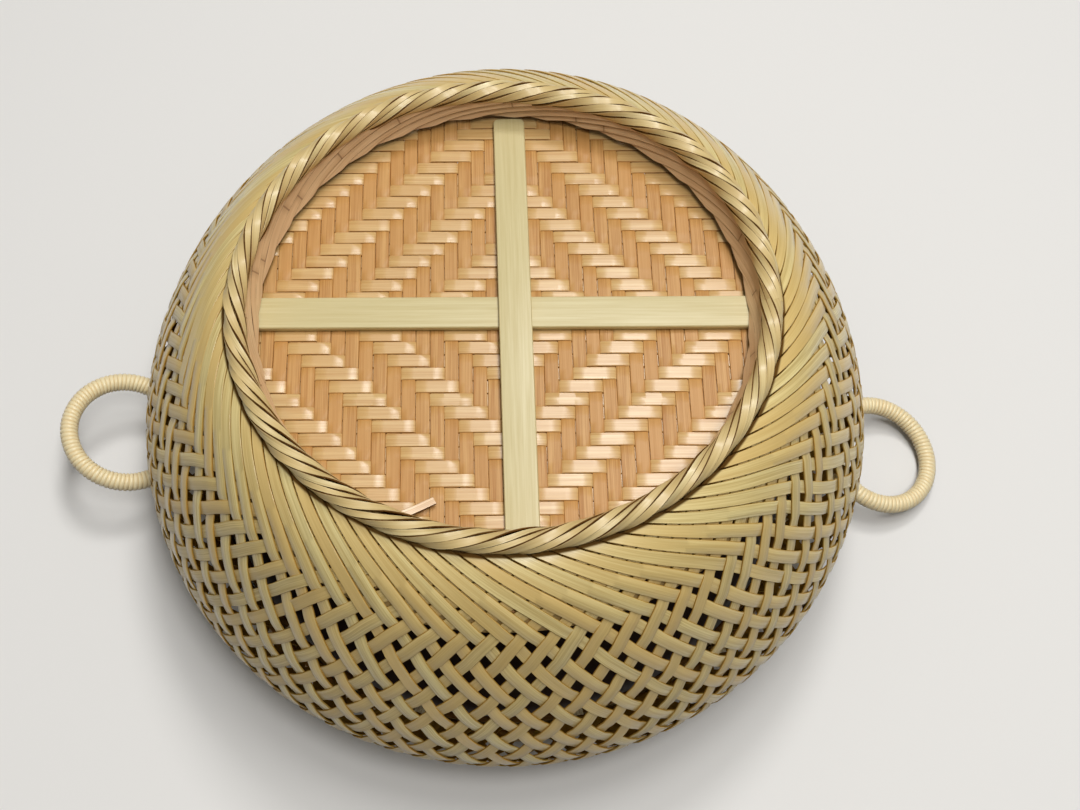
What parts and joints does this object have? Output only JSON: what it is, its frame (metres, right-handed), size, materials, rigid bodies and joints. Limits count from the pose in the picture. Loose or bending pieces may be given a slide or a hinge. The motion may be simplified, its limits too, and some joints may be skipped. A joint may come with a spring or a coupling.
{
  "type": "bamboo flower basket",
  "caption": "Squat round bamboo flower basket, stored mouth down: open twill wall, rope-laid foot, recessed twill base with crossed battens, and swinging rattan-wrapped ring handles.",
  "frame": {"origin": "centre of the mouth, on the surface that the rim's ties stand on when the basket lies mouth down", "axes": "+Z out of the foot, so the basket is turned over for use; +X towards the right ring handle"},
  "size_m": [0.4323, 0.3396, 0.1622],
  "materials": {
    "wall_bamboo": "satin split bamboo, straw yellow with a green cast",
    "mat_bamboo": "satin split bamboo, honey orange",
    "batten_bamboo": "smooth planed bamboo, pale greenish cream",
    "rope_bamboo": "satin split bamboo, pale straw",
    "hoop_bamboo": "plain split bamboo",
    "band_bamboo": "plain split bamboo, brown",
    "rim_bamboo": "satin split bamboo",
    "tie_rattan": "satin rattan",
    "ring_cane": "plain cane",
    "ring_rattan": "satin rattan, cream"
  },
  "bodies": {
    "basket": {"woven_wall": "wall_bamboo", "base_mat": "mat_bamboo", "base_batten_lower": "batten_bamboo", "base_batten_upper": "batten_bamboo", "foot_rope_strand_1": "rope_bamboo", "foot_rope_strand_2": "rope_bamboo", "foot_rope_strand_3": "rope_bamboo", "foot_rope_strand_4": "rope_bamboo", "foot_core_hoop": "hoop_bamboo", "base_hoop": "hoop_bamboo", "foot_inner_band": "band_bamboo", "rim_outer_hoop": "rim_bamboo", "rim_inner_hoop": "rim_bamboo", "rim_tie_01": "tie_rattan", "rim_tie_02": "tie_rattan", "rim_tie_03": "tie_rattan", "rim_tie_04": "tie_rattan", "rim_tie_05": "tie_rattan", "rim_tie_06": "tie_rattan", "rim_tie_07": "tie_rattan", "rim_tie_08": "tie_rattan", "rim_tie_09": "tie_rattan", "rim_tie_10": "tie_rattan", "rim_tie_11": "tie_rattan", "rim_tie_12": "tie_rattan", "left_handle_loop": "tie_rattan", "right_handle_loop": "tie_rattan"},
    "left_ring": {"left_ring_core": "ring_cane", "left_ring_wrap": "ring_rattan"},
    "right_ring": {"right_ring_core": "ring_cane", "right_ring_wrap": "ring_rattan"}
  },
  "joints": [
    {"name": "left_ring_swing", "type": "hinge", "parent": "basket", "child": "left_ring", "pos_m": [-0.16079, -0.00449, 0.02083], "axis": [-0.0279, 0.9996, 0], "range_deg": [-97, 29]},
    {"name": "right_ring_swing", "type": "hinge", "parent": "basket", "child": "right_ring", "pos_m": [0.16084, -0.0014, 0.02083], "axis": [-0.0087, -1, 0], "range_deg": [-62, 64]}
  ]
}
